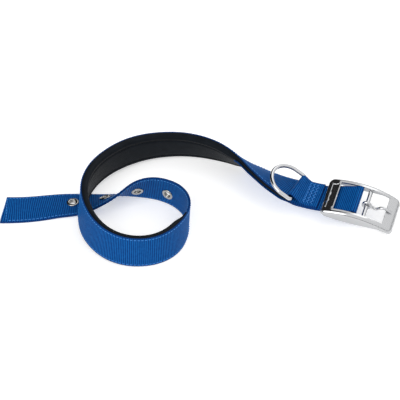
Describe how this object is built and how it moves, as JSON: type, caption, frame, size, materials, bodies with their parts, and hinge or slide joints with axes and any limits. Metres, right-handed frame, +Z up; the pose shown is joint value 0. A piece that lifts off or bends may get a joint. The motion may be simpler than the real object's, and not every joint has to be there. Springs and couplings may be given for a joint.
{
  "type": "dog collar",
  "caption": "Padded webbing dog collar with an arched prong buckle, eyelets and a D-ring, lying open in a coil.",
  "frame": {"origin": "on the table, under the middle of the collar's box as it lies", "axes": "+X from the strap's tip towards the buckle along the longest side, +Y towards the top of the coil, +Z up from the table"},
  "size_m": [0.292, 0.1333, 0.0295],
  "materials": {
    "webbing": "ribbed woven nylon, royal blue",
    "lining": "smooth knitted lining, near black",
    "foam": "soft foam inside the lining",
    "thread": "sewing thread, blue",
    "lining_thread": "sewing thread, black",
    "chrome": "polished plating",
    "eyelet": "bright nickel plating"
  },
  "bodies": {
    "collar": {"webbing": "webbing", "foam_pad": "foam", "lining": "lining", "ring_patch": "webbing", "lining_thread_top": "lining_thread", "lining_thread_bottom": "lining_thread", "tail_thread_top": "thread", "tail_thread_bottom": "thread", "tip_thread": "thread", "patch_thread": "thread", "eyelet_1": "eyelet", "eyelet_2": "eyelet", "eyelet_3": "eyelet", "eyelet_4": "eyelet", "washer_1": "eyelet", "washer_2": "eyelet", "washer_3": "eyelet", "washer_4": "eyelet"},
    "buckle": {"buckle_frame": "chrome", "webbing_bar": "chrome", "prong_pin": "chrome"},
    "prong": {"prong": "chrome"},
    "d_ring": {"d_ring": "chrome"}
  },
  "joints": [
    {"name": "buckle_swing", "type": "hinge", "parent": "collar", "child": "buckle", "pos_m": [0.11447, -0.00977, 0.01595], "axis": [0.2966, 0.9311, 0.2125], "range_deg": [0, 75]},
    {"name": "prong_swing", "type": "hinge", "parent": "buckle", "child": "prong", "pos_m": [0.12178, -0.01141, 0.01293], "axis": [-0.2966, -0.9311, -0.2125], "range_deg": [0, 130]},
    {"name": "d_ring_swing", "type": "hinge", "parent": "collar", "child": "d_ring", "pos_m": [0.07174, 0.00553, 0.01566], "axis": [0.4296, 0.9014, 0.0536], "range_deg": [-8, 140]}
  ]
}
